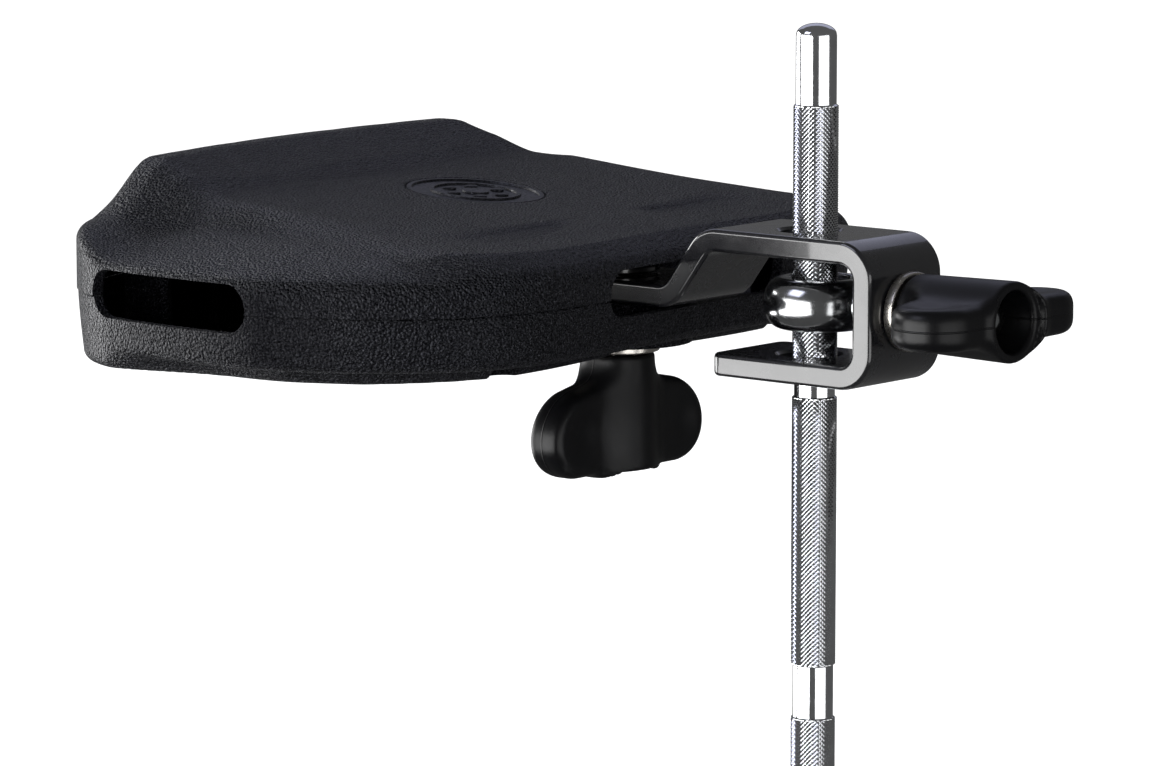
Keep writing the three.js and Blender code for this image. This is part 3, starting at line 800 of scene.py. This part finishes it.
def block_outline():
    """The block's outline as evenly spaced points.

    A closed centripetal Catmull-Rom curve runs through OUTLINE and its mirror image. It is then
    smoothed a little, and divided evenly along its length.
    """
    far = OUTLINE[1:-1]
    knots = np.array([OUTLINE[0], *far, OUTLINE[-1], *[(x, -y) for x, y in far[::-1]]], float)
    count, dense = len(knots), []
    for i in range(count):
        p0, p1, p2, p3 = (knots[(i + k) % count] for k in (-1, 0, 1, 2))
        t1 = np.linalg.norm(p1 - p0) ** 0.5
        t2 = t1 + np.linalg.norm(p2 - p1) ** 0.5
        t3 = t2 + np.linalg.norm(p3 - p2) ** 0.5
        for t in np.linspace(t1, t2, 40, endpoint=False):
            a1 = (t1 - t) / t1 * p0 + t / t1 * p1
            a2 = (t2 - t) / (t2 - t1) * p1 + (t - t1) / (t2 - t1) * p2
            a3 = (t3 - t) / (t3 - t2) * p2 + (t - t2) / (t3 - t2) * p3
            b1 = (t2 - t) / t2 * a1 + t / t2 * a2
            b2 = (t3 - t) / (t3 - t1) * a2 + (t - t1) / (t3 - t1) * a3
            dense.append((t2 - t) / (t2 - t1) * b1 + (t - t1) / (t2 - t1) * b2)
    dense = np.array(dense)
    for _ in range(60):
        dense = (np.roll(dense, 1, 0) + 2 * dense + np.roll(dense, -1, 0)) / 4
    loop = np.vstack([dense, dense[:1]])
    run = np.concatenate([[0], np.cumsum(np.linalg.norm(np.diff(loop, axis=0), axis=1))])
    at = np.linspace(0, run[-1], RING_POINTS, endpoint=False)
    return np.stack([np.interp(at, run, loop[:, k]) for k in (0, 1)], -1)


EDGE = block_outline() - HUB
REACH = np.linalg.norm(EDGE, axis=1)
WAY = EDGE / REACH[:, None]


def ring(reach, height):
    """A loop of points at a reach from the hub in each direction, and a height for each."""
    place = HUB + WAY * np.asarray(reach)[:, None] if np.ndim(reach) else HUB + WAY * reach
    inset = REACH - reach
    z = height(place[:, 0], place[:, 1], inset) if callable(height) else np.full(len(place), float(height))
    return np.column_stack([place, z])


def platform_height(x):
    """The sloping platform, which rises towards the ridge at the back."""
    return PLATFORM_Z - PLATFORM_SLOPE * x


def top_height(x, y, inset):
    """Skirt round the rim, sloping platform with a step along its sides, and a ridge at the back."""
    across = np.abs(y)
    rim = RIM_Z + 6 * smoothstep((-64 - x) / 20)
    rise = 6.4 - 3.2 * smoothstep((-60 - x) / 20)
    skirt = rim + rise * (1 - (1 - np.minimum(inset / 30, 1)) ** 1.7)
    platform = platform_height(x)
    rolled = np.minimum(platform, rim + 12 * (1 - np.exp(-inset / 14)))
    ridge_x = RIDGE_X + 5 * (across / RIDGE_HALF) ** 2
    front = np.maximum(0, 1 - np.maximum(0, x - ridge_x - 2) / 25) ** 2
    back = 1 - 0.9 * smoothstep((ridge_x - x - 2) / 8)
    high = rolled + (RIDGE_Z - rolled) * np.where(x > ridge_x, front, back)
    low = np.minimum(skirt, platform)
    edge = RIDGE_HALF + 7 * smoothstep((x + 84) / 30) + 7.5 * np.maximum(0, (x + 50) / 56) ** 2
    width = 15 - 9 * smoothstep((x + 84) / 34)
    past = np.maximum(0, 1 - (across - edge) / width) ** 1.25
    return soft_min(high, low + np.maximum(high - low, 0) * past, 3.0)


def rounded_top(x, y, inset):
    """The top with its rim rounded down to the wall."""
    drop = RIM_ROUND - np.minimum(inset, RIM_ROUND)
    return top_height(x, y, inset) - RIM_ROUND + np.sqrt(np.maximum(RIM_ROUND ** 2 - drop ** 2, 0))


def roof(x, y, inset):
    """The inside of the top."""
    return top_height(x, y, inset) - WALL


def loft(rings):
    """Closes a stack of loops, listed from the outside's top, with a fan at both ends."""
    faces = grid_faces(len(rings), RING_POINTS) + end_fans(len(rings), RING_POINTS)
    return np.vstack([*rings, rings[0].mean(0), rings[-1].mean(0)]), [face[::-1] for face in faces]


def slot_tools():
    """Solids that cut the two side slots and the clamp's slot."""
    outline = stadium(*SIDE_SLOT, SLOT_LOW, SLOT_HIGH)
    tools = [mesh_from(*prism(outline, -12, 12), AT_BLOCK @ Matrix.Translation((0, y, 0)) @ STANDING)
             for y in (88, -88)]
    front = stadium(-FRONT_SLOT, FRONT_SLOT, SLOT_LOW, SLOT_HIGH)
    place = AT_BLOCK @ Matrix.Rotation(math.pi / 2, 4, "Z") @ STANDING
    return [*tools, mesh_from(*prism(front, 12, 30), place)]


TO_BLOCK = np.array(AT_BLOCK.inverted())


def on_slot_edge(point):
    """Whether a point, in millimetres, lies on the outside rim of one of the slots."""
    x, y, z = (TO_BLOCK @ np.array([*point, 1.0]))[:3]
    if not SLOT_LOW - 0.15 < z < SLOT_HIGH + 0.15:
        return False
    spot = np.array([x, y]) - HUB
    nearest = np.argmin(((EDGE - spot) ** 2).sum(1))
    if np.linalg.norm(EDGE[nearest] - spot) > 1.6 or REACH[nearest] - np.linalg.norm(spot) > 1.5:
        return False
    along, low, high = (y, -FRONT_SLOT, FRONT_SLOT) if x > 12 else (x, *SIDE_SLOT)
    if not low - 0.3 < along < high + 0.3:
        return False
    round_end, mid = (SLOT_HIGH - SLOT_LOW) / 2, (SLOT_HIGH + SLOT_LOW) / 2
    away = np.hypot(along - np.clip(along, low + round_end, high - round_end), z - mid)
    return abs(away - round_end) < 0.12


SCREWS = [f"shell_screw_{i}" for i in range(1, 7)]


def at_screws(low, high, radius):
    """One mesh with a round bar at each screw."""
    bars = []
    for screw in SCREWS:
        x, y, _ = middle(screw)
        bars.append(mesh_from(*lathe([(radius, low), (radius, high)], 32, closed=False),
                              moved(x=x, y=y, z=BLOCK_Z)))
    return joined(bars)


def sunk(down):
    """The top's height less a depth, for the badge and its recess."""
    return lambda x, y, inset: rounded_top(x, y, inset) - down


def core(height, seam, inset, above):
    """The space inside a shell out to an inset, from the seam to a height above or below it."""
    rings = [ring(6.0, height), ring(BADGE_RADIUS, height)]
    rings += [ring(BADGE_RADIUS + (REACH - EDGE_ZONE - BADGE_RADIUS) * k / 24, height) for k in range(1, 24)]
    rings += [ring(REACH - i, height) for i in np.linspace(EDGE_ZONE, inset, 18)]
    rings += [ring(REACH - inset, seam), ring(6.0, seam)]
    return mesh_from(*loft(rings if above else rings[::-1]), AT_BLOCK)


def upper_shell_mesh():
    """Top half: its loops run from the badge out over the top, down the wall and back inside."""
    seam, edge = SEAM_Z + SEAM_GAP / 2, REACH - EDGE_ZONE
    rings = [ring(reach, sunk(BADGE_DEPTH)) for reach in (4.0, 9.0, 13.0)]
    rings += [ring(BADGE_RADIUS + out, sunk(down)) for out, down in
              ((-0.15, BADGE_DEPTH), (0, BADGE_DEPTH - 0.15), (0, 0.25), (0.1, 0.08), (0.3, 0))]
    first, steps = BADGE_RADIUS + 1, 58
    rings += [ring(first + (edge - first) * k / steps, rounded_top) for k in range(steps)]
    rings += [ring(REACH - inset, rounded_top) for inset in np.linspace(EDGE_ZONE, 3.4, 21)]
    rings += [ring(REACH - RIM_ROUND * (1 - math.sin(a)), rounded_top) for a in np.linspace(0.06, 1.45, 9)]
    side = ring(REACH, top_height)
    for t in np.linspace(0, 1, 7):
        wall = side.copy()
        wall[:, 2] = (side[:, 2] - RIM_ROUND - 0.1) * (1 - t) + (seam + 0.15) * t
        rings.append(wall)
    rings += [ring(REACH - 0.15, seam), ring(REACH - WALL, seam)]
    rings += [ring(REACH - WALL, lambda x, y, inset: roof(x, y, inset) - 0.5)]
    rings += [ring(REACH - inset, roof) for inset in np.linspace(6, EDGE_ZONE, 16)]
    rings += [ring(BADGE_RADIUS + (edge - BADGE_RADIUS) * (1 - k / 24), roof) for k in range(1, 24)]
    rings += [ring(12.0, roof), ring(6.0, roof)]
    shell = mesh_from(*loft(rings), AT_BLOCK)
    inside = core(lambda x, y, inset: top_height(x, y, inset) - WALL * 0.6, seam, WALL - 0.6, above=True)
    bosses = with_boolean(at_screws(seam, 60, BOSS_RADIUS), [("INTERSECT", inside)])
    steps = [("DIFFERENCE", tool) for tool in slot_tools()]
    steps += [("UNION", bosses), ("DIFFERENCE", at_screws(0, SCREW_HOLE_TOP, SCREW_HOLE_RADIUS))]
    return bevelled(with_boolean(shell, steps), SLOT_ROUND, on_slot_edge)


def under_height(x, y, inset):
    """Underside: a foot round the edge that is lower at the back, and a belly inside it."""
    foot = FOOT_Z + (BACK_FOOT_Z - FOOT_Z) * smoothstep((-62 - x) / 22)
    full = 1.2 + 11.8 * smoothstep((x + 80) / 42) + 5 * smoothstep((x + 15) / 30)
    return foot + (BELLY_Z - foot) * smoothstep((inset - full) / BELLY_SLOPE + 1)


def over_under(up):
    """A height above the underside."""
    return lambda x, y, inset: under_height(x, y, inset) + up


def lower_shell_mesh():
    """Bottom half: its loops run from the floor inside, over the seam, down the wall and under."""
    seam, outside = SEAM_Z - SEAM_GAP / 2, REACH - SEAM_STEP
    rings = [ring(reach, over_under(WALL)) for reach in (6.0, 30.0)]
    rings += [ring(REACH - inset, over_under(WALL)) for inset in np.linspace(EDGE_ZONE, 5, 14)]
    rings += [ring(REACH - WALL, over_under(WALL + 1)), ring(REACH - WALL, seam), ring(outside - 0.15, seam)]
    for t in np.linspace(0.02, 1, 7):
        wall = ring(outside - FOOT_DRAFT * t ** 1.4, over_under(FOOT_ROUND))
        wall[:, 2] = seam + (wall[:, 2] - seam) * t
        rings.append(wall)
    for a in np.linspace(0.15, math.pi / 2, 9):
        rings.append(ring(outside - FOOT_DRAFT - FOOT_ROUND * (1 - math.cos(a)),
                          over_under(FOOT_ROUND * (1 - math.sin(a)))))
    rings += [ring(REACH - inset, under_height) for inset in np.linspace(4.6, EDGE_ZONE, 26)]
    rings += [ring(30.0, under_height), ring(6.0, under_height)]
    shell = mesh_from(*loft(rings), AT_BLOCK)
    boss_top = TONGUE_Z - STRAP_THICKNESS / 2 - CLEARANCE
    profile = [(PIVOT_BOSS_RADIUS, BELLY_Z + WALL - 1), (PIVOT_BOSS_RADIUS, boss_top - 0.5),
               (PIVOT_BOSS_RADIUS - 0.5, boss_top)]
    boss = mesh_from(*lathe(profile, 72, closed=False), AT_PIVOT)
    inside = core(over_under(WALL / 2), seam, WALL / 2, above=False)
    bosses = with_boolean(at_screws(-2, seam, BOSS_RADIUS), [("INTERSECT", inside)])
    profile = [(PAD_RADIUS + 3, -3), (PAD_RADIUS + 0.6, 0), (PAD_RADIUS, 0.7), (PAD_RADIUS, PAD_Z)]
    pad = mesh_from(*lathe(profile, 96, closed=False), AT_PIVOT)
    hole = mesh_from(*lathe([(BOLT_HOLE_RADIUS, -4), (BOLT_HOLE_RADIUS, 20)], 48, closed=False), AT_PIVOT)
    steps = [("DIFFERENCE", tool) for tool in slot_tools()]
    steps += [("UNION", bosses), ("UNION", boss)]
    steps += [("DIFFERENCE", tool) for tool in (at_screws(-2, 20, SCREW_HOLE_RADIUS),
                                                at_screws(-2, SCREW_SEAT_Z, HEAD_HOLE_RADIUS), pad, hole)]
    return bevelled(with_boolean(shell, steps), SLOT_ROUND, on_slot_edge)


BADGE_FLOOR, BADGE_LOW, BADGE_HIGH = 0.8, 0.5, 0.05
BADGE_DOTS = 6
DOT_CIRCLE = 6.0


def badge_mesh():
    """Disc with a raised rim and a plain pattern of rings and dots, set in the top's recess."""
    outer, floor, low, high = BADGE_RADIUS - CLEARANCE, BADGE_FLOOR, BADGE_LOW, BADGE_HIGH
    steps = ((4.0, floor), (outer - 0.2, floor), (outer, floor - 0.1), (outer, high + 0.15),
             (outer - 0.15, high), (outer - 1.1, high), (outer - 1.3, low), (9.9, low), (9.75, high),
             (8.9, high), (8.75, low), (3.0, low), (2.85, high), (1.0, high))
    plate = mesh_from(*loft([ring(reach, sunk(down)) for reach, down in steps][::-1]), AT_BLOCK)
    dots = []
    for k in range(BADGE_DOTS):
        angle = 2 * math.pi * k / BADGE_DOTS + 0.3
        x, y = HUB[0] + DOT_CIRCLE * math.cos(angle), DOT_CIRCLE * math.sin(angle)
        top = platform_height(x)
        profile = [(1.5, top - floor + 0.1), (1.5, top - 0.2), (1.3, top - high)]
        dots.append(mesh_from(*lathe(profile, 32, closed=False), AT_BLOCK @ Matrix.Translation((x, y, 0))))
    return with_boolean(plate, [("UNION", joined(dots))])


def screw_mesh(place):
    """Pan-head screw, head down, with a cross recess."""
    head = [(1.2, 2.3), (2.4, 2.45), (3.2, 2.9), (3.5, 3.6), (3.5, 4.5), (3.2, 4.7)]
    body = mesh_from(*lathe(head, 48, closed=False), place)
    shank = mesh_from(*lathe([(1.75, 4.0), (1.75, 20.2), (0.9, 21)], 24, closed=False), place)
    long, narrow = 2.0, 0.42
    bars = [mesh_from(*prism(fillet(rectangle(-x, x, y), 0.15), 2.0, 3.9), place)
            for x, y in ((long, narrow), (narrow, long))]
    return with_boolean(body, [("UNION", shank)] + [("DIFFERENCE", bar) for bar in bars])


piece("upper_shell_moulding", upper_shell_mesh(), SHELL, "block", "shell_plastic", "upper_shell", smooth=40)
piece("lower_shell_moulding", lower_shell_mesh(), SHELL, "block", "shell_plastic", "lower_shell", smooth=40)
piece("badge_disc", badge_mesh(), BADGE, "block", "shell_plastic")
for number, screw in enumerate(SCREWS, 1):
    x, y, _ = middle(screw)
    place = moved(x=x, y=y, z=BLOCK_Z)
    piece(f"shell_screw_pan_{number}", screw_mesh(place), STEEL, "block", "zinc_steel", screw)

# ------------------------------------------------------------------ studio

STUDIO_AIM = Vector((-0.03, 0.0, 0.19))
WHITE = (1.0, 1.0, 1.0)
COOL = (0.8, 0.82, 1.0)
COOLER = (0.72, 0.74, 1.0)
FLOOR_REACH = 15000
WORLD_LIGHT = 1.3
WORLD_REFLECTION = 0.1


def area_light(name, angle, distance, height, size, power, colour=WHITE):
    """A softbox standing at an angle, in degrees, round the object from the camera.

    Its distance, height and size (width, height) are in metres, and its power in watts.
    """
    data = bpy.data.lights.new(name, "AREA")
    data.shape = "RECTANGLE"
    data.size, data.size_y = size
    data.energy = power
    data.color = colour
    obj = object_from(data, name)
    way = math.atan2(CAMERA_PLACE.y, CAMERA_PLACE.x) + math.radians(angle)
    place = Vector((math.cos(way) * distance, math.sin(way) * distance, height))
    aim = STUDIO_AIM - place
    obj.matrix_world = Matrix.Translation(place) @ aim.to_track_quat("-Z", "Y").to_matrix().to_4x4()


def make_floor():
    """A plain pale card, which reflections don't show."""
    floor = object_from(mesh_from(*prism(rectangle(-FLOOR_REACH, FLOOR_REACH, FLOOR_REACH), -20, 0)), "floor")
    n = Nodes("floor_card", Roughness=0.9, Specular_IOR_Level=0.1)
    floor.data.materials.append(n.use(Base_Color=n.tint(n.noise(0.6), (0.9, 0.9, 0.9), (0.93, 0.93, 0.93))))
    floor.visible_glossy = False


def make_world():
    """Even white light from all round, which is dim in reflections."""
    world = bpy.data.worlds.new("studio")
    scene.world = world
    world.use_nodes = True
    tree = world.node_tree
    background = tree.nodes["Background"]
    background.inputs["Color"].default_value = (*WHITE, 1)
    path = tree.nodes.new("ShaderNodeLightPath")
    level = tree.nodes.new("ShaderNodeMapRange")
    level.inputs["To Min"].default_value = WORLD_LIGHT
    level.inputs["To Max"].default_value = WORLD_REFLECTION
    tree.links.new(path.outputs["Is Glossy Ray"], level.inputs["Value"])
    tree.links.new(level.outputs["Result"], background.inputs["Strength"])
    world.cycles.sampling_method = "NONE"


def make_studio():
    """Floor, softboxes and world light."""
    make_floor()
    area_light("softbox_left", -58, 1.2, 0.05, (1.75, 0.9), 32)
    area_light("softbox_right", 45, 1.2, 0.05, (1.4, 0.9), 8)
    area_light("softbox_rim", -124, 1.2, 0.15, (0.7, 0.9), 11)
    area_light("softbox_above", -62, 1.0, 1.0, (0.6, 0.5), 3, COOL)
    area_light("softbox_back", 180, 1.1, 0.9, (1.4, 0.7), 1.4, COOLER)
    make_world()


make_studio()
